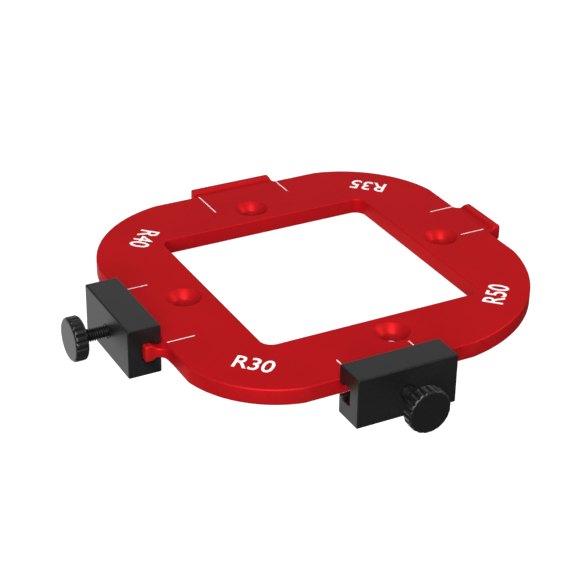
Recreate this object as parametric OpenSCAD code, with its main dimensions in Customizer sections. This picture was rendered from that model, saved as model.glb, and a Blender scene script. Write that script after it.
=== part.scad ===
// Corner-radius routing template: a flat plate with four corners of different radius and a T-shaped tongue
// on each side, with two clamp blocks that slide on the tongues and are locked by knurled thumb screws.
// Millimetres. Origin in the middle of the plate's thickness, on the axis of the hole circle, +Z up out of the
// plate's countersunk face.

/* [Plate] */
// Distance between the left and right guide lines
plate_w = 120; // [118:1:160]
// Distance between the front and back guide lines
plate_d = 120; // [118:1:160]
// Thickness of the plate
plate_t = 5; // [4:0.5:7]
// Radius of the front left corner
front_left_r = 30; // [20:1:36]
// Radius of the front right corner
front_right_r = 50; // [30:1:60]
// Radius of the back right corner
back_right_r = 35; // [20:1:42]
// Radius of the back left corner
back_left_r = 40; // [20:1:48]
// How far the straight edges stand inside the guide lines
edge_relief = 0.6; // [0.2:0.1:1]
// Width of the square window
window_w = 71; // [50:1:74]
// Depth of the square window
window_d = 71; // [50:1:74]
// Radius in the window's corners
window_r = 3.5; // [1:0.5:8]

/* [Screw holes] */
// Diameter of the circle through the four screw holes
hole_circle = 88; // [84:1:94]
// Bore of each screw hole
hole_bore = 6; // [3:0.5:6.5]
// Width of the countersink at the top face
sink_width = 10.8; // [8:0.2:12]

/* [Tongues] */
// Distance along a side from the end of a corner arc to the tongue
arc_to_tongue = 8.5; // [5:0.5:10]
// How far a tongue reaches past its guide line
tongue_reach = 5.5; // [4.5:0.5:7]
// Thickness of the tongue's head, outwards
head_t = 3.4; // [2:0.2:3.6]
// Height of the tongue's neck
neck_h = 3; // [2:0.5:3.5]
// Radius of the fillet between the neck and the plate's edge
neck_fillet = 1; // [0.3:0.1:1.2]

/* [Clamp blocks] */
// Length of a block along its side
block_l = 31; // [24:1:40]
// Thickness of a block, outwards
block_t = 10; // [9:0.5:14]
// Height of a block
block_h = 15; // [12:1:20]
// Gap between the tongue and the block's slot, all round
slot_gap = 0.15; // [0.1:0.05:0.3]
// Where the left block stands, from the middle of its tongue
left_shift = 0.7; // [-6:0.1:6]
// Where the front block stands, from the middle of its tongue
front_shift = -0.4; // [-6:0.1:6]

/* [Thumb screws] */
// Diameter of the tapped hole
screw_d = 4; // [3:0.5:6]
// Gap between the screw and its holes, each side
screw_gap = 0.05; // [0.02:0.01:0.1]
// Gap between the screw's tip and the tongue at rest
tip_gap = 1.5; // [0.5:0.1:2]
// Length of thread between the block and the knob
bare_thread = 7.5; // [4:0.5:12]
// Diameter of the knob
knob_d = 13; // [10:0.5:14]
// Thickness of the knob
knob_t = 4; // [3.5:0.5:8]
// How deep the screw is held in the knob
knob_seat = 3; // [2:0.1:3.2]
// Gap between the screw's end and the bottom of the knob's hole
end_gap = 0.1; // [0.05:0.05:0.3]
// Number of grip flutes round the knob
flutes = 20; // [12:2:30]
// Radius of a grip flute
flute_r = 0.55; // [0.3:0.05:0.7]

/* [Hidden] */
$fn = 96;
// Cuts run past the faces by this much
past = 1;
mid_z = plate_t / 2;
// The countersink is a 90 degree cone
sink_depth = (sink_width - hole_bore) / 2;
// The neck's fillet is limited by the step from the neck to the plate's face
flare_r = min(neck_fillet, (plate_t - neck_h) / 2);
flare_h = neck_h / 2 + flare_r;
// Turns of the four sides, so that each side's outward direction is +X before turning
RIGHT = 0;
BACK = 90;
LEFT = 180;
FRONT = 270;
// Each side's turn, its distance from the centre, and its tongue's start and end along the turned Y
TONGUES = [
    [RIGHT, plate_w / 2, front_right_r - plate_d / 2, plate_d / 2 - back_right_r],
    [BACK, plate_d / 2, back_right_r - plate_w / 2, plate_w / 2 - back_left_r],
    [LEFT, plate_w / 2, back_left_r - plate_d / 2, plate_d / 2 - front_left_r],
    [FRONT, plate_d / 2, front_left_r - plate_w / 2, plate_w / 2 - front_right_r]
];
// Where each block's middle is along its side, in the turned frame
left_at = (TONGUES[2][2] + TONGUES[2][3]) / 2 - left_shift;
front_at = (TONGUES[3][2] + TONGUES[3][3]) / 2 + front_shift;
// Distances outwards from a guide line
head_from = tongue_reach - head_t;
slot_floor = tongue_reach + slot_gap;
tip_at = tongue_reach + tip_gap;
knob_from = block_t + bare_thread;
screw_end = knob_from + knob_seat;

// The waste outside one corner arc, drawn round the arc's centre towards +X +Y
module corner_waste(r) {
    difference() {
        square(r + past);
        circle(r = r);
    }
}

// The plate's outline: relieved straight edges, cut by the four arcs that touch the guide lines
module plate_outline() {
    x = plate_w / 2;
    y = plate_d / 2;
    difference() {
        square([plate_w - 2 * edge_relief, plate_d - 2 * edge_relief], center = true);
        translate([x - back_right_r, y - back_right_r]) corner_waste(back_right_r);
        translate([back_left_r - x, y - back_left_r]) rotate(90) corner_waste(back_left_r);
        translate([front_left_r - x, front_left_r - y]) rotate(180) corner_waste(front_left_r);
        translate([x - front_right_r, front_right_r - y]) rotate(270) corner_waste(front_right_r);
    }
}

module window_outline() {
    square([window_w - 2 * window_r, window_d], center = true);
    square([window_w, window_d - 2 * window_r], center = true);
    for (sx = [-1, 1], sy = [-1, 1])
        translate([sx * (window_w / 2 - window_r), sy * (window_d / 2 - window_r)]) circle(r = window_r);
}

module screw_hole() {
    translate([0, 0, -past]) cylinder(h = plate_t + 2 * past, d = hole_bore);
    translate([0, 0, plate_t - sink_depth]) cylinder(h = sink_depth, d1 = hole_bore, d2 = sink_width);
    translate([0, 0, plate_t]) cylinder(h = past, d = sink_width);
}

// Carries an outward-by-up profile along a side, centred on the Y origin
module along_side(length) {
    rotate([90, 0, 0]) linear_extrude(height = length, center = true) children();
}

// The tongue's section: a head as thick as the plate on a thinner neck that flares into the plate's edge
module tongue_section() {
    translate([head_from, 0]) square([head_t, plate_t]);
    translate([-edge_relief - past, mid_z - neck_h / 2]) square([head_from + edge_relief + 2 * past, neck_h]);
    for (side = [-1, 1])
        difference() {
            translate([-edge_relief - past, mid_z + (side - 1) * flare_h / 2]) square([flare_r + past, flare_h]);
            translate([flare_r - edge_relief, mid_z + side * flare_h]) circle(r = flare_r);
        }
}

module tongue(side) {
    from = side[2] + arc_to_tongue;
    to = side[3] - arc_to_tongue;
    rotate(side[0]) translate([side[1], (from + to) / 2, 0]) along_side(to - from) tongue_section();
}

module template_plate() {
    color([0.72, 0.1, 0.12]) translate([0, 0, -mid_z]) union() {
        difference() {
            linear_extrude(height = plate_t) plate_outline();
            translate([0, 0, -past]) linear_extrude(height = plate_t + 2 * past) window_outline();
            for (turn = [RIGHT, BACK, LEFT, FRONT]) rotate(turn) translate([hole_circle / 2, 0, 0]) screw_hole();
        }
        for (side = TONGUES) tongue(side);
    }
}

// The block's section: a bar as thick above the plate as below it, open towards the plate in a T-slot
module block_section() {
    difference() {
        translate([0, mid_z - block_h / 2]) square([block_t, block_h]);
        translate([head_from - slot_gap, -slot_gap]) square([head_t + 2 * slot_gap, plate_t + 2 * slot_gap]);
        translate([-past, mid_z - neck_h / 2 - slot_gap]) square([head_from + past, neck_h + 2 * slot_gap]);
    }
}

// A block with its guide face on the YZ plane and its screw hole along +X
module clamp_block() {
    color([0.12, 0.12, 0.12]) difference() {
        along_side(block_l) block_section();
        translate([slot_floor - past, 0, mid_z]) rotate([0, 90, 0]) cylinder(h = block_t + past, d = screw_d);
    }
}

module stud() {
    color([0.16, 0.16, 0.17])
        translate([tip_at, 0, mid_z]) rotate([0, 90, 0]) cylinder(h = screw_end - tip_at, d = screw_d - 2 * screw_gap);
}

module knob() {
    color([0.09, 0.09, 0.1]) translate([knob_from, 0, mid_z]) rotate([0, 90, 0]) difference() {
        cylinder(h = knob_t, d = knob_d);
        translate([0, 0, -past]) cylinder(h = knob_seat + end_gap + past, d = screw_d);
        for (i = [0 : flutes - 1]) rotate(i * 360 / flutes)
            translate([knob_d / 2, 0, -past]) cylinder(h = knob_t + 2 * past, r = flute_r, $fn = 24);
    }
}

module on_left() { rotate(LEFT) translate([plate_w / 2, left_at, -mid_z]) children(); }
module on_front() { rotate(FRONT) translate([plate_d / 2, front_at, -mid_z]) children(); }

module left_block() { on_left() clamp_block(); }
module left_stud() { on_left() stud(); }
module left_knob() { on_left() knob(); }
module front_block() { on_front() clamp_block(); }
module front_stud() { on_front() stud(); }
module front_knob() { on_front() knob(); }

template_plate();
left_block();
left_stud();
left_knob();
front_block();
front_stud();
front_knob();
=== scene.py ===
"""Looks of a corner-radius routing template: a red anodised plate with T-shaped tongues on its four sides,
two black clamp blocks that slide on them, and the thumb screws that lock the blocks.

Every surface is worked out with numpy in millimetres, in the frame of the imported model, and put into a mesh
in metres. The plate, blocks, studs and knobs stand for the plain CAD nodes and keep their sizes and places.
"""

import logging
import math
from dataclasses import dataclass, field
from enum import Enum

import bmesh
import bpy
import numpy as np
from mathutils import Matrix, Vector
from mathutils.geometry import delaunay_2d_cdt

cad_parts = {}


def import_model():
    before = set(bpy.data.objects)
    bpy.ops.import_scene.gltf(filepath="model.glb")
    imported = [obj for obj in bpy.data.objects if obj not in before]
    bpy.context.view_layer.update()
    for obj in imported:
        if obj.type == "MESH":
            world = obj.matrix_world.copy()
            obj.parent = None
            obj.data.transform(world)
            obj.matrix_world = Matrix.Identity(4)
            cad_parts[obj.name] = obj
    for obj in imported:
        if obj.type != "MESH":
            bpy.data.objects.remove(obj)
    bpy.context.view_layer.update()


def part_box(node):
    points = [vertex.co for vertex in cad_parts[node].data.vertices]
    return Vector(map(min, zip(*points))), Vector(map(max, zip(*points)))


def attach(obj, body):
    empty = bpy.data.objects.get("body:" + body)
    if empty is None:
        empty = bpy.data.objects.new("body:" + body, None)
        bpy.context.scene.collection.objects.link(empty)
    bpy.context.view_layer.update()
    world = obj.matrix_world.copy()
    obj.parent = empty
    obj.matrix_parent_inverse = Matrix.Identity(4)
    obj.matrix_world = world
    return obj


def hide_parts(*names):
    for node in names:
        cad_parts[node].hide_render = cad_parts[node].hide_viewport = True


LOG = logging.getLogger("corner_template")
MM = 0.001
WELD_MM = 1e-4
INSIDE_WITH_HOLES = 2
SMOOTH_ANGLE = math.radians(34)
FLAT_MARGIN = 0.15
LEVEL = 0.99999
NEARLY_LEVEL = 0.9995
GLOSS_SWING = 0.08


class Side(Enum):
    """The four sides of the plate, by the turn about Z that brings the right side onto each of them."""

    RIGHT = 0
    BACK = 90
    LEFT = 180
    FRONT = 270

    @property
    def turn(self) -> float:
        """The side's turn about Z in radians."""
        return math.radians(self.value)

    @property
    def outward(self) -> np.ndarray:
        """The unit vector that points out of the plate on this side."""
        return np.array([math.cos(self.turn), math.sin(self.turn)])

    @property
    def along(self) -> np.ndarray:
        """The unit vector that runs along this side, a quarter turn on from outward."""
        return np.array([-math.sin(self.turn), math.cos(self.turn)])


class Grip(Enum):
    """Which clamp a piece belongs to: the word that its names start with, and its side of the plate."""

    LEFT = ("left", Side.LEFT)
    FRONT = ("front", Side.FRONT)

    @property
    def word(self) -> str:
        """The word that starts the names of this clamp's nodes and bodies."""
        return self.value[0]

    @property
    def side(self) -> Side:
        """The side of the plate that this clamp sits on."""
        return self.value[1]


# ------------------------------------------------------------------------------------------ geometry tools


@dataclass
class Path:
    """A closed path in a plane: its points in millimetres, and unit normals that point off the material."""

    points: np.ndarray
    normals: np.ndarray

    def inset(self, depths: np.ndarray) -> np.ndarray:
        """Moves the whole path against its normals, into the material, once for each depth.

        Args:
            depths: how far to move, in millimetres.

        Returns:
            Depths by points by 2.
        """
        return self.points[None] - self.normals[None] * depths[:, None, None]


def steps_round(start: float, end: float, count: int) -> np.ndarray:
    """Even steps between two angles given in degrees, returned in radians."""
    return np.radians(np.linspace(start, end, count))


def rounded_polygon(corners: list[tuple[float, float, float]], steps: int = 6) -> Path:
    """A closed outline of straight edges whose corners are arcs.

    At a corner of radius r between edges that turn by the angle a, the arc starts r tan(a / 2) before the
    corner. Two more points stand just outside each arc, so that the flats shade flat up to the rounding.

    Args:
        corners: (x, y, radius) of each corner, anticlockwise round the material.
        steps: points on each arc.

    Returns:
        The path, with normals that point away from the material.
    """
    data = np.array(corners, float)
    spot, radius = data[:, :2], data[:, 2]
    into = spot - np.roll(spot, 1, axis=0)
    into /= np.linalg.norm(into, axis=1, keepdims=True)
    out = np.roll(into, -1, axis=0)
    turn = np.arctan2(into[:, 0] * out[:, 1] - into[:, 1] * out[:, 0], (into * out).sum(1))
    reach = radius * np.tan(np.abs(turn) / 2)
    share = np.linspace(0, 1, steps)[None, :]
    side = np.sign(turn)[:, None]
    start_normal = np.stack([into[:, 1], -into[:, 0]], axis=1)
    angle = np.arctan2(start_normal[:, 1], start_normal[:, 0])[:, None] + turn[:, None] * share
    normal = np.stack([np.cos(angle), np.sin(angle)], axis=2)
    centre = spot - into * reach[:, None] - start_normal * (radius[:, None] * side)
    arc = centre[:, None, :] + normal * (radius[:, None] * side)[:, :, None]
    before = arc[:, :1] - into[:, None, :] * FLAT_MARGIN
    after = arc[:, -1:] + out[:, None, :] * FLAT_MARGIN
    points = np.concatenate([before, arc, after], axis=1).reshape(-1, 2)
    normals = np.concatenate([normal[:, :1], normal, normal[:, -1:]], axis=1).reshape(-1, 2)
    return Path(points, normals)


class Shell:
    """Gathers grids and flat caps in millimetres, then welds them into one closed mesh in metres."""

    def __init__(self) -> None:
        """Starts with no surface."""
        self.points: list[np.ndarray] = []
        self.faces: list[list[int]] = []
        self.marks: list[int] = []
        self.count = 0

    def _take(self, points: np.ndarray) -> int:
        """Adds points and returns the index of the first."""
        first = self.count
        self.points.append(points.reshape(-1, 3))
        self.count += points.size // 3
        return first

    def grid(self, points: np.ndarray, wrap: bool = False, mark: int = 0) -> None:
        """Adds a grid of quads.

        Args:
            points: rows by columns by 3.
            wrap: whether the last column joins the first.
            mark: material number of the faces.
        """
        rows, columns = points.shape[:2]
        first = self._take(points)
        index = first + np.arange(rows * columns).reshape(rows, columns)
        if wrap:
            index = np.concatenate([index, index[:, :1]], axis=1)
        quads = np.stack([index[:-1, :-1], index[:-1, 1:], index[1:, 1:], index[1:, :-1]], axis=-1)
        quads = quads.reshape(-1, 4)
        self.faces += quads.tolist()
        self.marks += [mark] * len(quads)

    def cap(self, rings: list[np.ndarray], flat_axes: tuple[int, int] = (0, 1)) -> None:
        """Fills the plane region between an outer ring and any inner rings with triangles.

        Args:
            rings: closed rings of 3-D points, the outer one first.
            flat_axes: the two axes that the region lies along.
        """
        flat = [Vector(p) for ring in rings for p in ring[:, list(flat_axes)]]
        ends = np.cumsum([0] + [len(ring) for ring in rings])
        loops = [list(range(a, b)) for a, b in zip(ends[:-1], ends[1:])]
        _, _, tris, origin, _, _ = delaunay_2d_cdt(flat, [], loops, INSIDE_WITH_HOLES, 1e-7)
        first = self._take(np.concatenate(rings))
        self.faces += [[first + origin[v][0] for v in tri] for tri in tris]
        self.marks += [0] * len(tris)

    def tube(self, points: np.ndarray) -> None:
        """Adds a grid whose rows are closed rings, with one flat face at each end.

        Args:
            points: rows by columns by 3.
        """
        self.grid(points, wrap=True)
        for ring in (points[0], points[-1]):
            first = self._take(ring)
            self.faces.append(list(range(first, first + len(ring))))
            self.marks.append(0)

    def build(self, name: str) -> bpy.types.Object:
        """Welds what was gathered, turns the faces outwards and makes the object.

        Args:
            name: name of the object and its mesh.

        Returns:
            The object, linked to the scene at the origin.
        """
        mesh = bpy.data.meshes.new(name)
        mesh.from_pydata(np.concatenate(self.points) * MM, [], self.faces)
        mesh.polygons.foreach_set("material_index", np.array(self.marks, np.int32))
        weld(mesh)
        return link_mesh(mesh, name)


def weld(mesh: bpy.types.Mesh) -> None:
    """Joins points that coincide, drops edges that have no length, and turns the faces outwards."""
    work = bmesh.new()
    work.from_mesh(mesh)
    bmesh.ops.remove_doubles(work, verts=work.verts, dist=WELD_MM * MM)
    bmesh.ops.dissolve_degenerate(work, edges=work.edges, dist=WELD_MM * MM / 2)
    bmesh.ops.recalc_face_normals(work, faces=work.faces)
    work.to_mesh(mesh)
    work.free()


def raise_rows(flat: np.ndarray, heights: np.ndarray | list[float]) -> np.ndarray:
    """Gives each row of a grid of flat points its own height.

    Args:
        flat: rows by columns by 2.
        heights: one for each row.

    Returns:
        Rows by columns by 3.
    """
    high = np.broadcast_to(np.array(heights)[:, None, None], (*flat.shape[:2], 1))
    return np.concatenate([flat, high], axis=2)


def place_object(name: str, data: bpy.types.ID) -> bpy.types.Object:
    """Puts a mesh, curve, light or camera in the scene as an object at the origin.

    Args:
        name: the object's name.
        data: what it holds.

    Returns:
        The object.
    """
    made = bpy.data.objects.new(name, data)
    bpy.context.scene.collection.objects.link(made)
    return made


def link_mesh(mesh: bpy.types.Mesh, name: str) -> bpy.types.Object:
    """Shades a mesh smooth up to the sharp angle and puts it in the scene as an object at the origin.

    An edge between a level face and one that isn't level is sharp too, so the large flat faces take no curved
    shading from what they meet.

    Args:
        mesh: the mesh.
        name: the object's name.

    Returns:
        The object.
    """
    mesh.validate()
    mesh.shade_smooth()
    mesh.set_sharp_from_angle(angle=SMOOTH_ANGLE)
    work = bmesh.new()
    work.from_mesh(mesh)
    for edge in work.edges:
        levels = [abs(face.normal.z) > LEVEL for face in edge.link_faces]
        if len(levels) == 2 and levels[0] != levels[1]:
            edge.smooth = False
    work.to_mesh(mesh)
    work.free()
    return place_object(name, mesh)


def combine(base: bpy.types.Object, tool: bpy.types.Object, operation: str) -> bpy.types.Object:
    """Joins a tool solid to a base solid or cuts it away, and deletes the tool.

    Args:
        base: the solid that is kept.
        tool: the solid that is used up.
        operation: UNION or DIFFERENCE.

    Returns:
        A new object in place of the base, with the base's name.
    """
    step = base.modifiers.new("combine", "BOOLEAN")
    step.operation = operation
    step.solver = "EXACT"
    step.object = tool
    result = bpy.data.meshes.new_from_object(base.evaluated_get(bpy.context.evaluated_depsgraph_get()))
    name = base.name
    for used in (base, tool):
        old = used.data
        bpy.data.objects.remove(used)
        bpy.data.meshes.remove(old)
    result.name = name
    return link_mesh(result, name)


# ------------------------------------------------------------------------------------------------ finishes


def make_group(name: str, inputs: dict[str, float], outputs: dict[str, str]) -> bpy.types.NodeTree:
    """Starts a shader node group.

    Args:
        name: the group's name.
        inputs: name and default of each number that it takes.
        outputs: name and socket type of each value that it gives.

    Returns:
        The group, with no nodes in it yet.
    """
    group = bpy.data.node_groups.new(name, "ShaderNodeTree")
    for label, value in inputs.items():
        socket = group.interface.new_socket(label, in_out="INPUT", socket_type="NodeSocketFloat")
        socket.default_value = value
    for label, kind in outputs.items():
        group.interface.new_socket(label, in_out="OUTPUT", socket_type=kind)
    return group


def blasted_grain_group() -> bpy.types.NodeTree:
    """The grain of fine blasted metal: small pits and a slow drift of tone, both read in object coordinates.

    Returns:
        A group with inputs Grain and Drift, in cells per metre, and outputs Pits and Tone, from 0 to 1.
    """
    group = make_group("blasted_grain", {"Grain": 2600.0, "Drift": 45.0},
                       {"Pits": "NodeSocketFloat", "Tone": "NodeSocketFloat"})
    nodes, links = group.nodes, group.links
    inside, outside = nodes.new("NodeGroupInput"), nodes.new("NodeGroupOutput")
    place = nodes.new("ShaderNodeTexCoord")
    pits, drift = nodes.new("ShaderNodeTexNoise"), nodes.new("ShaderNodeTexNoise")
    pits.inputs["Detail"].default_value = 3.0
    pits.inputs["Roughness"].default_value = 0.62
    drift.inputs["Detail"].default_value = 4.0
    for noise, scale, out in ((pits, "Grain", "Pits"), (drift, "Drift", "Tone")):
        links.new(place.outputs["Object"], noise.inputs["Vector"])
        links.new(inside.outputs[scale], noise.inputs["Scale"])
        links.new(noise.outputs["Fac"], outside.inputs[out])
    return group


def edge_rub_group() -> bpy.types.NodeTree:
    """The rub on outer edges: strong where the surface is sharply convex, broken up by a fine noise.

    There is none on level faces.

    Returns:
        A group with inputs Reach (how far the rub spreads) and Breakup (cells per metre), and the output Rub.
    """
    group = make_group("edge_rub", {"Reach": 0.035, "Breakup": 900.0}, {"Rub": "NodeSocketFloat"})
    nodes, links = group.nodes, group.links
    inside, outside = nodes.new("NodeGroupInput"), nodes.new("NodeGroupOutput")
    shape, place = nodes.new("ShaderNodeNewGeometry"), nodes.new("ShaderNodeTexCoord")
    noise, top = nodes.new("ShaderNodeTexNoise"), nodes.new("ShaderNodeMath")
    top.operation = "ADD"
    top.inputs[0].default_value = 0.5
    spread, broken = nodes.new("ShaderNodeMapRange"), nodes.new("ShaderNodeMath")
    spread.inputs["From Min"].default_value = 0.5
    broken.operation = "MULTIPLY"
    links.new(inside.outputs["Reach"], top.inputs[1])
    links.new(shape.outputs["Pointiness"], spread.inputs["Value"])
    links.new(top.outputs[0], spread.inputs["From Max"])
    links.new(place.outputs["Object"], noise.inputs["Vector"])
    links.new(inside.outputs["Breakup"], noise.inputs["Scale"])
    links.new(spread.outputs["Result"], broken.inputs[0])
    links.new(noise.outputs["Fac"], broken.inputs[1])
    facing, height = nodes.new("ShaderNodeSeparateXYZ"), nodes.new("ShaderNodeMath")
    height.operation = "ABSOLUTE"
    tilted, kept = nodes.new("ShaderNodeMath"), nodes.new("ShaderNodeMath")
    tilted.operation, kept.operation = "LESS_THAN", "MULTIPLY"
    tilted.inputs[1].default_value = NEARLY_LEVEL
    links.new(shape.outputs["True Normal"], facing.inputs[0])
    links.new(facing.outputs["Z"], height.inputs[0])
    links.new(height.outputs[0], tilted.inputs[0])
    links.new(broken.outputs[0], kept.inputs[0])
    links.new(tilted.outputs[0], kept.inputs[1])
    links.new(kept.outputs[0], outside.inputs["Rub"])
    return group


@dataclass(frozen=True)
class Finish:
    """A surface finish: a tone that drifts a little, a fine grain in its relief and gloss, and rubbed edges.

    The grain is in cells per metre and the relief in metres. The tint colours what shines at the surface.
    """

    name: str
    base: tuple[float, float, float]
    rubbed: tuple[float, float, float]
    metallic: float
    roughness: float
    specular: float
    grain: float
    relief: float
    drift: float = 0.06
    rub: float = 0.5
    anisotropic: float = 0.0
    tint: tuple[float, float, float] = (1.0, 1.0, 1.0)

    def material(self, grain_group: bpy.types.NodeTree, rub_group: bpy.types.NodeTree) -> bpy.types.Material:
        """Builds the node material.

        The base colour is multiplied by 1 plus or minus the drift, then mixed towards the rubbed colour by
        the edge rub. Roughness moves up and down with the pits, which also lift the surface by the relief.

        Args:
            grain_group: the blasted_grain node group.
            rub_group: the edge_rub node group.

        Returns:
            The material.
        """
        made = bpy.data.materials.new(self.name)
        made.use_nodes = True
        made.diffuse_color = (*self.base, 1.0)
        nodes, links = made.node_tree.nodes, made.node_tree.links
        shader = nodes["Principled BSDF"]
        shader.inputs["Metallic"].default_value = self.metallic
        shader.inputs["Specular IOR Level"].default_value = self.specular
        shader.inputs["Specular Tint"].default_value = (*self.tint, 1.0)
        grain, rub = nodes.new("ShaderNodeGroup"), nodes.new("ShaderNodeGroup")
        grain.node_tree, rub.node_tree = grain_group, rub_group
        grain.inputs["Grain"].default_value = self.grain
        tone, wear = nodes.new("ShaderNodeMix"), nodes.new("ShaderNodeMix")
        tone.data_type = wear.data_type = "RGBA"
        tone.inputs["A"].default_value = (*[c * (1 - self.drift) for c in self.base], 1.0)
        tone.inputs["B"].default_value = (*[min(c * (1 + self.drift), 1.0) for c in self.base], 1.0)
        wear.inputs["B"].default_value = (*self.rubbed, 1.0)
        links.new(grain.outputs["Tone"], tone.inputs["Factor"])
        links.new(tone.outputs["Result"], wear.inputs["A"])
        amount = nodes.new("ShaderNodeMath")
        amount.operation = "MULTIPLY"
        amount.inputs[1].default_value = self.rub
        links.new(rub.outputs["Rub"], amount.inputs[0])
        links.new(amount.outputs[0], wear.inputs["Factor"])
        links.new(wear.outputs["Result"], shader.inputs["Base Color"])
        gloss = nodes.new("ShaderNodeMapRange")
        gloss.inputs["To Min"].default_value = self.roughness - GLOSS_SWING
        gloss.inputs["To Max"].default_value = self.roughness + GLOSS_SWING
        links.new(grain.outputs["Pits"], gloss.inputs["Value"])
        links.new(gloss.outputs["Result"], shader.inputs["Roughness"])
        bump = nodes.new("ShaderNodeBump")
        bump.inputs["Strength"].default_value = 1.0
        bump.inputs["Distance"].default_value = self.relief
        links.new(grain.outputs["Pits"], bump.inputs["Height"])
        links.new(bump.outputs["Normal"], shader.inputs["Normal"])
        if self.anisotropic:
            shader.inputs["Anisotropic"].default_value = self.anisotropic
            tangent = nodes.new("ShaderNodeTangent")
            tangent.direction_type = "UV_MAP"
            tangent.uv_map = "turned"
            links.new(tangent.outputs["Tangent"], shader.inputs["Tangent"])
        return made


RED_ANODISED = Finish(
    "red_anodised", (0.50, 0.006, 0.010), (0.60, 0.04, 0.04), metallic=0.4, roughness=0.45, specular=0.05,
    grain=2600.0, relief=6e-6, drift=0.13, tint=(0.95, 0.12, 0.12))
RED_TURNED = Finish(
    "red_turned", (0.85, 0.04, 0.06), (0.9, 0.15, 0.15), metallic=0.95, roughness=0.22, specular=0.5,
    grain=5200.0, relief=1e-6, anisotropic=0.85, tint=(1.0, 0.3, 0.3))
BLACK_ANODISED = Finish(
    "black_anodised", (0.002, 0.002, 0.002), (0.02, 0.02, 0.02), metallic=0.0, roughness=0.45, specular=0.4,
    grain=3200.0, relief=6e-6)
BLACK_KNOB = Finish(
    "black_knob", (0.002, 0.002, 0.002), (0.02, 0.02, 0.02), metallic=0.0, roughness=0.38, specular=0.5,
    grain=2400.0, relief=5e-6)
BLACK_OXIDE = Finish(
    "black_oxide", (0.004, 0.004, 0.005), (0.05, 0.05, 0.05), metallic=0.2, roughness=0.35, specular=0.2,
    grain=4200.0, relief=2e-6)
WHITE_PAINT = Finish(
    "white_paint", (0.95, 0.93, 0.93), (0.95, 0.93, 0.93), metallic=0.0, roughness=0.5, specular=0.4,
    grain=4200.0, relief=2e-6, drift=0.03, rub=0.0)


@dataclass
class Finishes:
    """Makes each finish's material once and hands it out."""

    grain: bpy.types.NodeTree = field(default_factory=blasted_grain_group)
    rub: bpy.types.NodeTree = field(default_factory=edge_rub_group)
    made: dict[str, bpy.types.Material] = field(default_factory=dict)

    def get(self, finish: Finish) -> bpy.types.Material:
        """Returns the material of a finish, building it the first time."""
        if finish.name not in self.made:
            self.made[finish.name] = finish.material(self.grain, self.rub)
        return self.made[finish.name]

    def dress(self, piece: bpy.types.Object, *finishes: Finish) -> None:
        """Gives a piece its materials, in the order of its face marks."""
        piece.data.materials.clear()
        for finish in finishes:
            piece.data.materials.append(self.get(finish))


# ------------------------------------------------------------------------------------------ sub-assemblies


@dataclass
class SideFrame:
    """A frame on one side of the plate, whose axes run outwards, along the side and up.

    Its origin is at the distance guide from the plate's axis, at middle along the side, at the height level.
    """

    side: Side
    guide: float
    middle: float
    level: float

    def place(self, points: np.ndarray) -> np.ndarray:
        """Turns an array of (outwards, along, up) into the object's frame, all in millimetres."""
        out = self.side.outward * (self.guide + points[..., :1])
        flat = out + self.side.along * (self.middle + points[..., 1:2])
        return np.concatenate([flat, points[..., 2:] + self.level], axis=-1)


@dataclass(frozen=True)
class Corner:
    """A corner of the plate: the signs of its x and y, its radius, and its mark's distance from the axis."""

    sx: int
    sy: int
    radius: float
    mark_out: float


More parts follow.
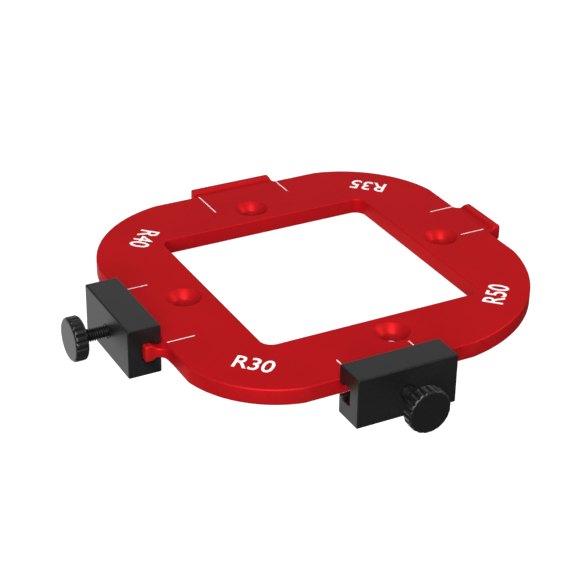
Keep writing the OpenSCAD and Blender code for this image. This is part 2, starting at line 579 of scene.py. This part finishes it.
@dataclass
class TemplatePlate:
    """The plate with its four corner arcs, window, countersunk holes and side tongues, and the marks on it.

    Sizes are in millimetres. The corners run anticlockwise, each at the end of the side of its own number.
    """

    finishes: Finishes
    corners: tuple[Corner, ...] = (Corner(1, 1, 35.0, 59.8), Corner(-1, 1, 40.0, 55.7),
                                   Corner(-1, -1, 30.0, 60.2), Corner(1, -1, 50.0, 54.7))
    edge_relief: float = 0.6
    edge_round: float = 0.5
    window: float = 71.0
    window_r: float = 3.5
    hole_circle: float = 88.0
    hole_r: float = 3.0
    sink_r: float = 5.4
    sink_depth: float = 2.4
    sink_lip: float = 0.12
    bore_chamfer: float = 0.3
    arc_to_tongue: float = 8.5
    tongue_reach: float = 5.5
    tongue_start: float = 0.9
    tongue_edge_r: float = 0.55
    tuck: float = 0.012
    neck_half: float = 1.5
    neck_from: float = 0.4
    head_t: float = 3.4
    head_rise: float = 1.8
    head_lead: float = 0.2
    tip_r: float = 0.7
    root_r: float = 4.5
    line_w: float = 0.34
    line_r: float = 0.18
    line_end: float = 50.5
    long_line_end: float = 46.2
    line_gap: float = 0.45
    stroke_gain: float = 0.010
    cap_height: float = 6.3
    word_width: float = 11.4
    film: float = 0.02

    def __post_init__(self) -> None:
        """Takes the plate's two faces and the guide lines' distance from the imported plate."""
        low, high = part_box("template_plate")
        self.bottom, self.top = low.z / MM, high.z / MM
        self.guide = high.x / MM - self.tongue_reach
        self.mid = (self.bottom + self.top) / 2

    def outline(self) -> Path:
        """The plate's outline: arcs that touch the guide lines, joined by straight edges just inside them.

        An arc leaves the relieved edge at the angle from the side's direction whose cosine is
        (r - relief) / r. The straight edges are cut into short equal steps.

        Returns:
            The closed path, anticlockwise.
        """
        points, normals = [], []
        for number, corner in enumerate(self.corners):
            r = corner.radius
            skip = math.degrees(math.acos((r - self.edge_relief) / r))
            angle = steps_round(90 * number + skip, 90 * number + 90 - skip, 44)
            normal = np.stack([np.cos(angle), np.sin(angle)], axis=1)
            points.append(np.array([corner.sx, corner.sy]) * (self.guide - r) + normal * r)
            normals.append(normal)
        joined, turned = [], []
        share = np.linspace(0, 1, 26)[1:-1, None]
        for number in range(4):
            start, end = points[number][-1], points[(number + 1) % 4][0]
            flat = math.radians(90 * (number + 1))
            joined += [points[number], start + (end - start) * share]
            turned += [normals[number], np.tile([math.cos(flat), math.sin(flat)], (len(share), 1))]
        return Path(np.concatenate(joined), np.concatenate(turned))

    def rim_profile(self, rounding: float) -> tuple[np.ndarray, np.ndarray]:
        """The section of an edge that is rounded top and bottom.

        Args:
            rounding: the radius of the rounding.

        Returns:
            The insets into the material, and the heights.
        """
        turn = steps_round(0, 90, 7)
        inset = np.concatenate([[rounding + FLAT_MARGIN], rounding * (1 - np.sin(turn))])
        drop = np.concatenate([[0.0], rounding * (1 - np.cos(turn))])
        height = np.concatenate([self.top - drop, (self.bottom + drop)[::-1]])
        return np.concatenate([inset, inset[::-1]]), height

    def hole_grid(self, side: Side) -> tuple[np.ndarray, np.ndarray]:
        """The wall of one countersunk hole, as a section carried round the hole's axis.

        Args:
            side: the side of the plate that the hole is on.

        Returns:
            The cone's grid from the upper face down, and the bore's grid down to the underside.
        """
        centre = side.outward * self.hole_circle / 2
        turn = np.linspace(0, 2 * math.pi, 96, endpoint=False)
        ring = np.stack([np.cos(turn), np.sin(turn)], axis=1)

        def carry(radii: list[float], heights: list[float]) -> np.ndarray:
            """Carries (radius, height) pairs round the hole."""
            return raise_rows(centre + ring[None] * np.array(radii)[:, None, None], heights)

        top, low, lip, bevel = self.top, self.bottom, self.sink_lip, self.bore_chamfer
        wide, narrow, foot = self.sink_r, self.hole_r, self.top - self.sink_depth
        cone = carry([wide + lip + FLAT_MARGIN, wide + lip, wide + lip * 0.3, wide - lip, narrow + lip,
                      narrow], [top, top, top - lip * 0.3, top - lip, foot + lip, foot - lip])
        bore = carry([narrow, narrow, narrow + bevel, narrow + bevel + FLAT_MARGIN],
                     [foot - lip, low + bevel, low, low])
        return cone, bore

    def body(self) -> bpy.types.Object:
        """The plate without its tongues: rims carried along the outline and window, holes, and flat faces."""
        shell = Shell()
        half, r = self.window / 2, self.window_r
        signs = ((1, 1), (1, -1), (-1, -1), (-1, 1))
        opening = rounded_polygon([(sx * half, sy * half, r) for sx, sy in signs], 12)
        tops, bottoms = [], []
        for path, rounding in ((self.outline(), self.edge_round), (opening, self.edge_round * 0.75)):
            inset, height = self.rim_profile(rounding)
            rim = raise_rows(path.inset(inset), height)
            shell.grid(rim, wrap=True)
            tops.append(rim[0])
            bottoms.append(rim[-1])
        for side in Side:
            cone, bore = self.hole_grid(side)
            shell.grid(cone[:2], wrap=True)
            shell.grid(cone[1:], wrap=True, mark=1)
            shell.grid(bore, wrap=True, mark=1)
            tops.append(cone[0])
            bottoms.append(bore[-1])
        shell.cap(tops)
        shell.cap(bottoms)
        return shell.build("template_plate_shell")

    def tongue_ends(self, side: Side) -> tuple[float, float]:
        """Where a side's tongue starts and ends along the side, from the radii of the corners at its ends."""
        number = side.value // 90
        before, after = self.corners[number - 1].radius, self.corners[number].radius
        return before + self.arc_to_tongue - self.guide, self.guide - after - self.arc_to_tongue

    def tongue(self, side: Side) -> bpy.types.Object:
        """One tongue, as rounded rectangles stacked outwards.

        The half height falls from the plate's half thickness to the neck's by half a cosine wave, and rises
        again to the head's by another. It stays under the plate's faces by the tuck, so no faces coincide.
        The half length is wider at the root by a concave quarter circle. Both shrink at the tip's rounding.

        Args:
            side: the side of the plate that it stands on.

        Returns:
            The tongue as a closed solid that starts inside the plate.
        """
        start, end = self.tongue_ends(side)
        frame = SideFrame(side, self.guide, (start + end) / 2, self.mid)
        half_t, tip_r, tip_at = (self.top - self.bottom) / 2, self.tip_r, self.tongue_reach
        root = -self.edge_relief - self.edge_round
        fine_to, coarse_from = 3.1, 3.4
        out = np.concatenate([[root - self.tongue_start], np.linspace(root - 0.05, fine_to, 44),
                              np.linspace(coarse_from, tip_at - tip_r, 3),
                              tip_at - tip_r * (1 - np.sin(steps_round(12, 90, 7)))])
        rise_from = tip_at - self.head_t - self.head_lead
        fall = 0.5 + 0.5 * np.cos(math.pi * np.clip((out - root) / (self.neck_from - root), 0, 1))
        rise = 0.5 - 0.5 * np.cos(math.pi * np.clip((out - rise_from) / self.head_rise, 0, 1))
        tip = tip_r - np.sqrt(np.maximum(tip_r**2 - np.clip(out - tip_at + tip_r, 0, tip_r) ** 2, 0))
        high = self.neck_half + (half_t - self.tuck - self.neck_half) * np.maximum(fall, rise) - tip
        sink = np.clip(self.root_r - (out + self.edge_relief), 0, self.root_r)
        fillet = self.root_r - np.sqrt(self.root_r**2 - sink**2)
        wide = (end - start) / 2 + fillet - tip
        corner = np.minimum(self.tongue_edge_r, high * 0.8)
        quarter = steps_round(0, 90, 6)
        rings = []
        for sx, sy, first in ((1, 1, 0), (-1, 1, 90), (-1, -1, 180), (1, -1, 270)):
            turn = quarter + math.radians(first)
            along = sx * (wide - corner)[:, None] + corner[:, None] * np.cos(turn)
            up = sy * (high - corner)[:, None] + corner[:, None] * np.sin(turn)
            rings.append(np.stack([np.broadcast_to(out[:, None], along.shape), along, up], axis=2))
        shell = Shell()
        shell.tube(frame.place(np.concatenate(rings, axis=1)))
        return shell.build(f"tongue_{side.name.lower()}")

    def map_turning(self, piece: bpy.types.Object) -> None:
        """Adds the map whose first axis runs round each hole, so that the cones shine as turned metal does.

        The map's u is the angle about the nearest hole's axis over a full turn, kept on one side of the seam
        within each face, and its v is the distance from that axis in centimetres.

        Args:
            piece: the plate.
        """
        mesh = piece.data
        layer = mesh.uv_layers.new(name="turned")
        corner = np.empty(len(mesh.loops), np.int32)
        mesh.loops.foreach_get("vertex_index", corner)
        spots = np.empty(len(mesh.vertices) * 3, np.float32)
        mesh.vertices.foreach_get("co", spots)
        flat = spots.reshape(-1, 3)[corner, :2] / MM
        centres = np.array([side.outward * self.hole_circle / 2 for side in Side])
        start = np.empty(len(mesh.polygons), np.int32)
        mesh.polygons.foreach_get("loop_start", start)
        owner = np.repeat(np.arange(len(start)), np.diff(np.append(start, len(corner))))
        nearest = np.argmin(((flat[start][:, None] - centres[None]) ** 2).sum(2), axis=1)[owner]
        away = flat - centres[nearest]
        angle = np.arctan2(away[:, 1], away[:, 0])
        first = angle[start][owner]
        angle = first + (angle - first + math.pi) % (2 * math.pi) - math.pi
        values = np.stack([angle / (2 * math.pi), np.hypot(away[:, 0], away[:, 1]) / 10], axis=1)
        layer.data.foreach_set("uv", values.ravel().astype(np.float32))

    def index_lines(self) -> list[bpy.types.Object]:
        """The white lines across the edge at both ends of every tongue, as thin flat bars of paint."""
        made = []
        edge, half, r = self.guide - self.edge_relief - self.line_gap, self.line_w / 2, self.line_r
        for side in Side:
            for number, spot in enumerate(self.tongue_ends(side)):
                is_long = side is Side.BACK and number == 1
                inner = self.long_line_end if is_long else self.line_end
                frame = SideFrame(side, 0.0, spot, self.top)
                bar = rounded_polygon([(inner, -half, r), (edge, -half, r), (edge, half, r),
                                       (inner, half, r)], 4)
                made.append(self.paint_bar(frame, bar, f"index_line_{side.name.lower()}_{number + 1}"))
        return made

    def paint_bar(self, frame: SideFrame, bar: Path, name: str) -> bpy.types.Object:
        """A flat closed bar of paint, from a film's thickness under the plate's face to one above it.

        Args:
            frame: the frame that the bar's outline is drawn in.
            bar: the outline.
            name: the piece's name.

        Returns:
            The bar.
        """
        shell = Shell()
        shell.tube(frame.place(raise_rows(bar.inset(np.zeros(2)), [-self.film, self.film])))
        return shell.build(name)

    def numeral(self, corner: Corner) -> bpy.types.Object:
        """The mark that says one corner's radius, with its top towards the plate's middle.

        Args:
            corner: the corner that it is for.

        Returns:
            The mark as a thin solid of paint.
        """
        name = f"mark_r{corner.radius:.0f}"
        words = bpy.data.curves.new(name, "FONT")
        words.body = f"R{corner.radius:.0f}"
        words.offset = self.stroke_gain
        words.extrude = 0.01
        words.resolution_u = 5
        holder = place_object(name, words)
        mesh = bpy.data.meshes.new_from_object(holder.evaluated_get(bpy.context.evaluated_depsgraph_get()))
        bpy.data.objects.remove(holder)
        bpy.data.curves.remove(words)
        spots = np.empty(len(mesh.vertices) * 3, np.float32)
        mesh.vertices.foreach_get("co", spots)
        spots = spots.reshape(-1, 3).astype(float)
        low, high = spots.min(0), spots.max(0)
        unit = (spots - (low + high) / 2) / (high - low)
        up = -np.array([corner.sx, corner.sy]) / math.sqrt(2)
        reading = np.array([up[1], -up[0]])
        centre = np.array([corner.sx, corner.sy]) * corner.mark_out / math.sqrt(2)
        flat = centre + unit[:, :1] * self.word_width * reading + unit[:, 1:2] * self.cap_height * up
        placed = np.concatenate([flat, self.top + unit[:, 2:] * 2 * self.film], axis=1) * MM
        mesh.vertices.foreach_set("co", placed.ravel().astype(np.float32))
        mesh.name = name
        weld(mesh)
        return link_mesh(mesh, name)

    def build(self) -> None:
        """Makes the plate and its marks, dresses them and lets them ride on the plate's body."""
        plate = self.body()
        for side in Side:
            plate = combine(plate, self.tongue(side), "UNION")
        plate.name = "red_plate"
        self.map_turning(plate)
        self.finishes.dress(plate, RED_ANODISED, RED_TURNED)
        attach(plate, "plate")
        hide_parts("template_plate")
        LOG.info("plate: %d faces", len(plate.data.polygons))
        for mark in self.index_lines() + [self.numeral(corner) for corner in self.corners]:
            self.finishes.dress(mark, WHITE_PAINT)
            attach(mark, "plate")
            LOG.info("mark: %s", mark.name)


@dataclass
class ClampBlock:
    """A black block with a T-slot for the tongue and a tapped hole for its thumb screw."""

    grip: Grip
    finishes: Finishes
    mouth_half: float = 1.65
    lip: float = 1.95
    slot_half: float = 2.65
    slot_floor: float = 5.65
    mouth_r: float = 0.4
    lip_r: float = 0.36
    undercut_r: float = 0.2
    floor_r: float = 0.5
    hole_r: float = 2.0
    hole_chamfer: float = 0.3
    edge_r: float = 0.45
    end_r: float = 0.28

    def __post_init__(self) -> None:
        """Takes the block's place and size from its CAD node."""
        low, high = (np.array(corner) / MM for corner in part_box(f"{self.grip.word}_block"))
        side = self.grip.side
        reach = [corner[:2] @ side.outward for corner in (low, high)]
        along = [corner[:2] @ side.along for corner in (low, high)]
        self.thickness = abs(reach[1] - reach[0])
        self.length = abs(along[1] - along[0])
        self.half_h = (high[2] - low[2]) / 2
        self.frame = SideFrame(side, min(reach), sum(along) / 2, (low[2] + high[2]) / 2)

    def section(self) -> Path:
        """The block's outline seen along its length, with the T-slot open towards the plate."""
        t, h, e = self.thickness, self.half_h, self.edge_r
        m, s, floor, lip = self.mouth_half, self.slot_half, self.slot_floor, self.lip
        upper = [(0, m, self.mouth_r), (lip, m, self.lip_r), (lip, s, self.undercut_r),
                 (floor, s, self.floor_r)]
        lower = [(out, -up, r) for out, up, r in reversed(upper)]
        return rounded_polygon([(0, -h, e), (t, -h, e), (t, h, e), (0, h, e)] + upper + lower)

    def solid(self) -> bpy.types.Object:
        """The section carried along the block's length, drawn in along a quarter circle at both ends."""
        path = self.section()
        turn = steps_round(0, 90, 6)
        half = self.length / 2
        inset = np.concatenate([[0.0], self.end_r * (1 - np.cos(turn)), [self.end_r + 0.06]])
        reach = half - self.end_r * (1 - np.sin(turn))
        reach = np.concatenate([[half - self.end_r - FLAT_MARGIN], reach, [half]])
        along = np.concatenate([-reach[::-1], reach])
        inset = np.concatenate([inset[::-1], inset])
        flat = path.inset(inset)
        along = np.broadcast_to(along[:, None], flat.shape[:2])
        spots = np.stack([flat[..., 0], along, flat[..., 1]], axis=2)
        shell = Shell()
        shell.grid(spots, wrap=True)
        shell.cap([spots[0]], (0, 2))
        shell.cap([spots[-1]], (0, 2))
        shell.points = [self.frame.place(points) for points in shell.points]
        return shell.build(f"{self.grip.word}_clamp_block")

    def drill(self) -> bpy.types.Object:
        """The solid that cuts the tapped hole and its chamfer through the outer wall."""
        turn = np.linspace(0, 2 * math.pi, 64, endpoint=False)
        inside, outside = self.slot_floor - 0.8, self.thickness + 0.5
        mouth = self.hole_r + self.hole_chamfer
        out = np.array([inside, self.thickness - self.hole_chamfer, self.thickness, outside])
        radius = np.array([self.hole_r, self.hole_r, mouth, mouth])
        shell = Shell()
        shell.tube(self.frame.place(around_axis(out, radius[:, None] * np.ones_like(turn), turn)))
        return shell.build("drill")

    def build(self) -> None:
        """Makes the block, dresses it and lets it ride on its clamp body."""
        block = combine(self.solid(), self.drill(), "DIFFERENCE")
        self.finishes.dress(block, BLACK_ANODISED)
        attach(block, f"{self.grip.word}_clamp")
        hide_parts(f"{self.grip.word}_block")
        LOG.info("%s: %d faces", block.name, len(block.data.polygons))


def around_axis(out: np.ndarray, radius: np.ndarray, turn: np.ndarray) -> np.ndarray:
    """Points round an outward axis: (outwards, radius times cosine, radius times sine).

    Args:
        out: distance outwards, one per row or one per point.
        radius: radius, rows by columns.
        turn: angle of each column.

    Returns:
        Rows by columns by 3.
    """
    outwards = np.broadcast_to(out[:, None] if out.ndim == 1 else out, radius.shape)
    return np.stack([outwards, radius * np.cos(turn), radius * np.sin(turn)], axis=2)


@dataclass
class ThumbScrew:
    """A thumb screw: a threaded stud, and the fluted knob on its end."""

    grip: Grip
    finishes: Finishes
    pitch: float = 0.7
    thread_depth: float = 0.42
    crest_share: float = 0.14
    flank_share: float = 0.58
    tip_chamfer: float = 0.5
    flutes: int = 20
    flute_depth: float = 0.42
    knob_round: float = 0.9
    seat_gap: float = 0.05
    seat_chamfer: float = 0.3
    end_gap: float = 0.1

    def __post_init__(self) -> None:
        """Takes the places and sizes of the stud and the knob from their CAD nodes."""
        side = self.grip.side
        spans = {}
        for part in ("stud", "knob"):
            low, high = (np.array(corner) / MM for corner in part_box(f"{self.grip.word}_{part}"))
            reach = sorted(corner[:2] @ side.outward for corner in (low, high))
            spans[part] = (*reach, (high[2] - low[2]) / 2)
        self.middle = float((low[:2] + high[:2]) @ side.along / 2)
        self.level = float((low[2] + high[2]) / 2)
        self.stud_from, self.stud_to, self.stud_r = spans["stud"]
        self.knob_from, self.knob_to, self.knob_r = spans["knob"]
        self.frame = SideFrame(side, 0.0, self.middle, self.level)

    def stud(self) -> bpy.types.Object:
        """The stud, whose rows follow the thread's helix.

        A row stands pitch times (row over rows per pitch plus turns) along the axis. Its radius follows a
        flat crest, a straight flank and a flat root. Chamfers limit it near the ends, and past an end the
        rows stay in the end's plane and shrink to the axis, which closes it.

        Returns:
            The stud as a closed solid.
        """
        per_pitch, columns = 12, 49
        turn = np.linspace(0, 2 * math.pi, columns)
        length = self.stud_to - self.stud_from
        rows = int((length / self.pitch + 4) * per_pitch)
        row = np.arange(rows)
        along = self.pitch * ((row / per_pitch)[:, None] + turn[None] / (2 * math.pi) - 2)
        phase = (row % per_pitch) / per_pitch
        from_crest = np.minimum(phase, 1 - phase) * 2
        sunk = np.clip((from_crest - self.crest_share) / self.flank_share, 0, 1)
        thread = self.stud_r - self.thread_depth * sunk
        inside = np.minimum(along, length - along)
        chamfered = np.minimum(thread[:, None], self.stud_r - self.tip_chamfer + np.maximum(inside, 0))
        shrink = np.clip(1 + inside / (self.pitch * 0.8), 0, 1)
        radius = chamfered * np.where(inside < 0, shrink, 1)
        out = self.stud_from + np.clip(along, 0, length)
        shell = Shell()
        shell.grid(self.frame.place(around_axis(out, radius, turn)))
        return shell.build(f"{self.grip.word}_threaded_stud")

    def knob(self) -> bpy.types.Object:
        """The knob, as a section carried round its axis with its rim fluted.

        The section goes from the seat's end, out through the seat's mouth, over the back rounding, the rim
        and the front rounding, to the middle of the face. The radius loses the flute depth times the sixth
        power of the cosine of half the flute angle, weighted so that the flutes run out on the roundings.

        Returns:
            The knob as a closed solid.
        """
        r, e = self.knob_r, self.knob_round
        turn = np.linspace(0, 2 * math.pi, self.flutes * 14, endpoint=False)
        curve = steps_round(0, 90, 9)
        back = np.stack([self.knob_from + e * (1 - np.cos(curve)), r - e + e * np.sin(curve)], axis=1)
        front = np.stack([self.knob_to - e * (1 - np.sin(curve)), r - e + e * np.cos(curve)], axis=1)
        seat_end, seat_r, bevel = self.stud_to + self.end_gap, self.stud_r + self.seat_gap, self.seat_chamfer
        section = np.concatenate([
            [[seat_end, 0.0], [seat_end, seat_r], [self.knob_from + bevel, seat_r],
             [self.knob_from, seat_r + bevel], [self.knob_from, seat_r + bevel + 0.2],
             [self.knob_from, r - e - FLAT_MARGIN]],
            back, [[self.knob_from + e + 0.1, r], [self.knob_to - e - 0.1, r]], front,
            [[self.knob_to, r - e - FLAT_MARGIN], [self.knob_to, 0.0]]])
        weight = np.clip((section[:, 1] - (r - e)) / e, 0, 1) ** 4
        groove = (0.5 + 0.5 * np.cos(self.flutes * turn)) ** 3
        radius = section[:, 1:] - self.flute_depth * weight[:, None] * groove[None]
        shell = Shell()
        shell.grid(self.frame.place(around_axis(section[:, 0], radius, turn)), wrap=True)
        return shell.build(f"{self.grip.word}_fluted_knob")

    def build(self) -> None:
        """Makes the stud and the knob, dresses them and lets them ride on their bodies."""
        stud, knob = self.stud(), self.knob()
        self.finishes.dress(stud, BLACK_OXIDE)
        self.finishes.dress(knob, BLACK_KNOB)
        screw = ((stud, "screw", "stud", "black_oxide"), (knob, "grip", "knob", "black_knob"))
        for piece, body, node, slot in screw:
            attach(piece, f"{self.grip.word}_{body}")
            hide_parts(f"{self.grip.word}_{node}")
            LOG.info("%s: %d faces", piece.name, len(piece.data.polygons))


# -------------------------------------------------------------------------------------------------- studio


@dataclass(frozen=True)
class SoftBox:
    """A rectangular soft light that faces the object."""

    name: str
    place: tuple[float, float, float]
    size: tuple[float, float]
    power: float

    def build(self, target: Vector) -> None:
        """Makes the light and turns it towards the target point."""
        lamp = bpy.data.lights.new(self.name, "AREA")
        lamp.shape = "RECTANGLE"
        lamp.size, lamp.size_y = self.size
        lamp.energy = self.power
        holder = place_object(self.name, lamp)
        holder.location = self.place
        holder.rotation_euler = (target - Vector(self.place)).to_track_quat("-Z", "Y").to_euler()


@dataclass
class Studio:
    """The pale floor, the soft lights and the camera."""

    floor_level: float
    top_level: float
    floor_gap: float = 0.00005
    azimuth: float = -28.25
    elevation: float = 28.6
    roll: float = 0.95
    distance: float = 0.4964
    lens: float = 105.66
    aim: tuple[float, float] = (-0.0143, -0.0085)
    boxes: tuple[SoftBox, ...] = (
        SoftBox("front_left_box", (-0.70, -0.90, 0.40), (0.7, 0.7), 13.0),
        SoftBox("key_box", (-0.31, -0.68, 0.94), (0.4, 0.4), 9.0),
        SoftBox("right_box", (1.0, -0.30, 0.60), (0.5, 0.5), 4.0),
        SoftBox("back_box", (0.62, 1.16, 0.72), (1.2, 1.2), 3.0),
        SoftBox("low_left_box", (-0.25, 0.90, -0.50), (1.6, 1.4), 7.5),
    )

    def camera(self) -> None:
        """Makes the camera at its azimuth, elevation and roll about the aim point, on the plate's face."""
        a, e, c = (math.radians(v) for v in (self.azimuth, self.elevation, self.roll))
        back = np.array([math.sin(a) * math.cos(e), -math.cos(a) * math.cos(e), math.sin(e)])
        right = np.cross([0.0, 0.0, 1.0], back)
        right /= np.linalg.norm(right)
        up = np.cross(back, right)
        turned_right = math.cos(c) * right + math.sin(c) * up
        turned_up = -math.sin(c) * right + math.cos(c) * up
        eye = np.array([*self.aim, self.top_level]) + back * self.distance
        lens = bpy.data.cameras.new("camera")
        lens.lens, lens.sensor_width = self.lens, 36.0
        lens.clip_start = 0.01
        holder = place_object("camera", lens)
        columns = np.stack([turned_right, turned_up, back, eye], axis=1)
        holder.matrix_world = Matrix([*columns.tolist(), [0.0, 0.0, 0.0, 1.0]])
        bpy.context.scene.camera = holder

    def floor(self) -> None:
        """Makes the plain pale floor at the level of the blocks' undersides."""
        half = 6.0
        mesh = bpy.data.meshes.new("floor")
        corners = [(-half, -half), (half, -half), (half, half), (-half, half)]
        mesh.from_pydata([(x, y, self.floor_level - self.floor_gap) for x, y in corners], [], [(0, 1, 2, 3)])
        ground = place_object("floor", mesh)
        pale = bpy.data.materials.new("pale_floor")
        pale.use_nodes = True
        shader = pale.node_tree.nodes["Principled BSDF"]
        shader.inputs["Base Color"].default_value = (0.3, 0.3, 0.3, 1.0)
        shader.inputs["Roughness"].default_value = 1.0
        shader.inputs["Specular IOR Level"].default_value = 0.0
        shader.inputs["Emission Color"].default_value = (1.0, 1.0, 1.0, 1.0)
        shader.inputs["Emission Strength"].default_value = 1.0
        mesh.materials.append(pale)
        ground.visible_diffuse = ground.visible_glossy = ground.visible_shadow = False

    def world(self) -> None:
        """Gives the scene a soft even surround."""
        surround = bpy.data.worlds.new("surround")
        surround.use_nodes = True
        nodes, links = surround.node_tree.nodes, surround.node_tree.links
        glow, seen = nodes["Background"], nodes.new("ShaderNodeBackground")
        mix = nodes.new("ShaderNodeMixShader")
        glow.inputs["Color"].default_value = seen.inputs["Color"].default_value = (1.0, 1.0, 1.0, 1.0)
        glow.inputs["Strength"].default_value = 0.15
        path = nodes.new("ShaderNodeLightPath")
        links.new(path.outputs["Is Camera Ray"], mix.inputs["Fac"])
        links.new(glow.outputs["Background"], mix.inputs[1])
        links.new(seen.outputs["Background"], mix.inputs[2])
        links.new(mix.outputs["Shader"], nodes["World Output"].inputs["Surface"])
        bpy.context.scene.world = surround
        bpy.context.scene.view_settings.view_transform = "Standard"

    def build(self) -> None:
        """Makes the whole studio."""
        self.camera()
        self.floor()
        self.world()
        target = Vector((*self.aim, self.top_level))
        for box in self.boxes:
            box.build(target)
        LOG.info("studio: %d lights", len(self.boxes))


def main() -> None:
    """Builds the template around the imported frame."""
    logging.basicConfig(level=logging.INFO, format="%(name)s: %(message)s")
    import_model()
    low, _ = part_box("left_block")
    _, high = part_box("template_plate")
    Studio(low.z, high.z).build()
    finishes = Finishes()
    TemplatePlate(finishes).build()
    for grip in Grip:
        ClampBlock(grip, finishes).build()
        ThumbScrew(grip, finishes).build()


if __name__ == "__main__":
    main()
